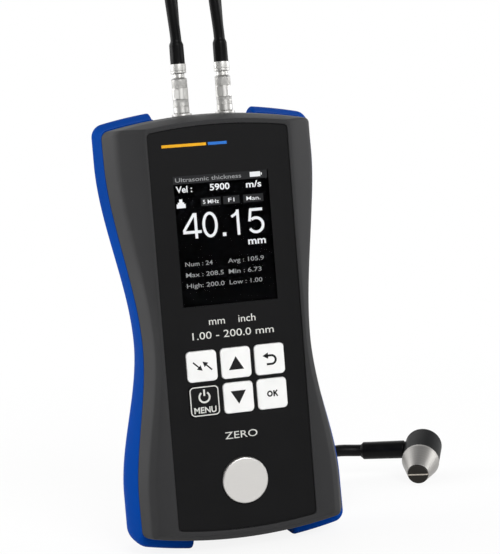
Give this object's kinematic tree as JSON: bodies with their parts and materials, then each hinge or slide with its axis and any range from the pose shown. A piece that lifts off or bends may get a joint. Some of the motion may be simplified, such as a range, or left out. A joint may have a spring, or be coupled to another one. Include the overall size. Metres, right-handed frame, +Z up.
{
  "type": "ultrasonic thickness gauge",
  "caption": "Handheld ultrasonic thickness gauge with display, keypad, steel zero disc, blue bumpers and a dual-element probe on a twin-lead cable.",
  "frame": {"origin": "on the standing plane, under the middle of the housing", "axes": "+Z up along the housing, -Y out of the front panel, +X to the right of someone who reads the display"},
  "size_m": [0.1747, 0.1269, 0.2739],
  "materials": {
    "shell_grey": "fine-grained moulded dark grey ABS",
    "bumper_blue": "satin blue elastomer",
    "screw_steel": "zinc-plated",
    "overlay_black": "printed polyester film, satin",
    "clear_lens": "polished clear sheet",
    "foam": "closed-cell foam",
    "lcd": "polished display module",
    "board_green": "solder mask",
    "battery_wrap": "shrink wrap",
    "connector_metal": "satin nickel plate",
    "mat_silicone": "moulded silicone",
    "key_white": "satin moulded key",
    "key_black": "satin moulded key",
    "disc_steel": "ground and turned stainless steel",
    "cable_black": "matt PVC",
    "probe_plastic": "smooth moulded cap",
    "probe_steel": "turned stainless steel",
    "delay_line": "lapped resin",
    "barrier_cork": "pressed cork",
    "crystal_ceramic": "silvered ceramic",
    "backing_resin": "filled resin"
  },
  "bodies": {
    "gauge": {"front_shell": "shell_grey", "back_shell": "shell_grey", "left_bumper": "bumper_blue", "right_bumper": "bumper_blue", "case_screws": "screw_steel", "front_overlay": "overlay_black", "display_lens": "clear_lens", "display_gasket": "foam", "lcd_module": "lcd", "main_board": "board_green", "board_screws": "screw_steel", "battery_pack": "battery_wrap", "charge_socket": "connector_metal", "keypad_mat": "mat_silicone", "zero_disc": "disc_steel", "left_socket": "connector_metal", "right_socket": "connector_metal", "left_socket_nut": "connector_metal", "right_socket_nut": "connector_metal", "left_plug_core": "connector_metal", "left_collet_nut": "connector_metal", "left_plug_boot": "cable_black", "right_plug_core": "connector_metal", "right_collet_nut": "connector_metal", "right_plug_boot": "cable_black", "left_lead": "cable_black", "right_lead": "cable_black", "lead_splitter": "cable_black", "cable_drop": "cable_black", "cable_coil": "cable_black", "coil_tie": "cable_black", "cable_tail": "cable_black", "probe_boot": "cable_black", "probe_cap": "probe_plastic", "probe_ferrule": "probe_steel", "send_line": "delay_line", "receive_line": "delay_line", "acoustic_barrier": "barrier_cork", "send_crystal": "crystal_ceramic", "receive_crystal": "crystal_ceramic", "probe_backing": "backing_resin"},
    "arrows_key_body": {"arrows_key": "key_white"},
    "up_key_body": {"up_key": "key_white"},
    "return_key_body": {"return_key": "key_white"},
    "menu_key_body": {"menu_key": "key_black"},
    "down_key_body": {"down_key": "key_white"},
    "ok_key_body": {"ok_key": "key_white"},
    "left_sleeve": {"left_plug_sleeve": "connector_metal"},
    "right_sleeve": {"right_plug_sleeve": "connector_metal"}
  },
  "joints": [
    {"name": "arrows_key_press", "type": "slide", "parent": "gauge", "child": "arrows_key_body", "axis": [0, 1, 0], "range_m": [0, 0.0005], "stiffness_N_per_m": 400},
    {"name": "up_key_press", "type": "slide", "parent": "gauge", "child": "up_key_body", "axis": [0, 1, 0], "range_m": [0, 0.0005], "stiffness_N_per_m": 400},
    {"name": "return_key_press", "type": "slide", "parent": "gauge", "child": "return_key_body", "axis": [0, 1, 0], "range_m": [0, 0.0005], "stiffness_N_per_m": 400},
    {"name": "menu_key_press", "type": "slide", "parent": "gauge", "child": "menu_key_body", "axis": [0, 1, 0], "range_m": [0, 0.0005], "stiffness_N_per_m": 400},
    {"name": "down_key_press", "type": "slide", "parent": "gauge", "child": "down_key_body", "axis": [0, 1, 0], "range_m": [0, 0.0005], "stiffness_N_per_m": 400},
    {"name": "ok_key_press", "type": "slide", "parent": "gauge", "child": "ok_key_body", "axis": [0, 1, 0], "range_m": [0, 0.0005], "stiffness_N_per_m": 400},
    {"name": "left_sleeve_slide", "type": "slide", "parent": "gauge", "child": "left_sleeve", "axis": [0, 0, 1], "range_m": [0, 0.0012]},
    {"name": "right_sleeve_slide", "type": "slide", "parent": "gauge", "child": "right_sleeve", "axis": [0, 0, 1], "range_m": [0, 0.0012]}
  ]
}
